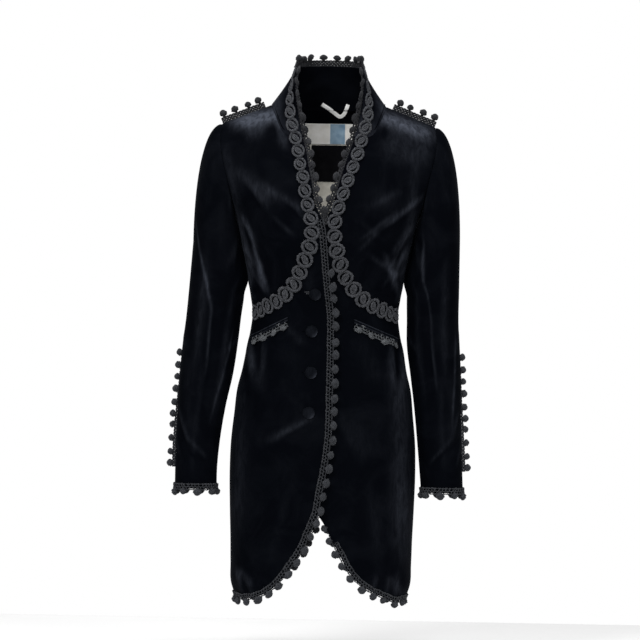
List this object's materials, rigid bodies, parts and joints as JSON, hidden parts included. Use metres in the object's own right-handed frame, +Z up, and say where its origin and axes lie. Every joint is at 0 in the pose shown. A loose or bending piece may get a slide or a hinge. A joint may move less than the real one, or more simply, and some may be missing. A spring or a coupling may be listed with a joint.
{
  "type": "frock coat",
  "caption": "Fitted velvet frock coat with a tall open collar, ring-braid neck edges, bobble-trimmed seams, cuffs and pockets, and a rounded, split skirt, held in its worn shape.",
  "frame": {"origin": "on the centre line between the shoulders, at the height of the collar's foot at the sides, where the wearer's shoulders hold the coat", "axes": "+Z up the wearer, -Y out of the coat's front, +X to the wearer's left"},
  "size_m": [0.5594, 0.2371, 0.9955],
  "materials": {
    "velvet": "dark navy-black velvet with a short nap",
    "braid": "matt crocheted and guipure braid in charcoal grey",
    "lining": "smooth cream lining with a pale blue band",
    "lining_lower": "smooth beige lining",
    "label": "plain black woven label",
    "tape": "white woven tape"
  },
  "bodies": {
    "root": {"collar": "velvet", "bodice_front_right": "velvet", "bodice_front_left": "velvet", "skirt_front_right": "velvet", "skirt_front_left": "velvet", "bodice_back_right": "velvet", "bodice_back_left": "velvet", "skirt_back_right": "velvet", "skirt_back_left": "velvet", "sleeve_upper_right": "velvet", "sleeve_upper_left": "velvet", "sleeve_under_right": "velvet", "sleeve_under_left": "velvet", "button_1": "velvet", "button_2": "velvet", "button_3": "velvet", "button_4": "velvet", "pocket_welt_right": "velvet", "pocket_welt_left": "velvet", "pocket_braid_right": "braid", "pocket_braid_left": "braid", "ring_braid_right": "braid", "ring_braid_left": "braid", "neck_braid_right": "braid", "neck_braid_left": "braid", "front_braid_right": "braid", "front_braid_left": "braid", "back_braid_right": "braid", "back_braid_left": "braid", "collar_braid": "braid", "shoulder_braid_right": "braid", "shoulder_braid_left": "braid", "sleeve_braid_right": "braid", "sleeve_braid_left": "braid", "cuff_braid_right": "braid", "cuff_braid_left": "braid", "lining_band": "lining", "lining_lower": "lining_lower", "neck_label": "label", "hanging_loop": "tape"}
  },
  "joints": []
}
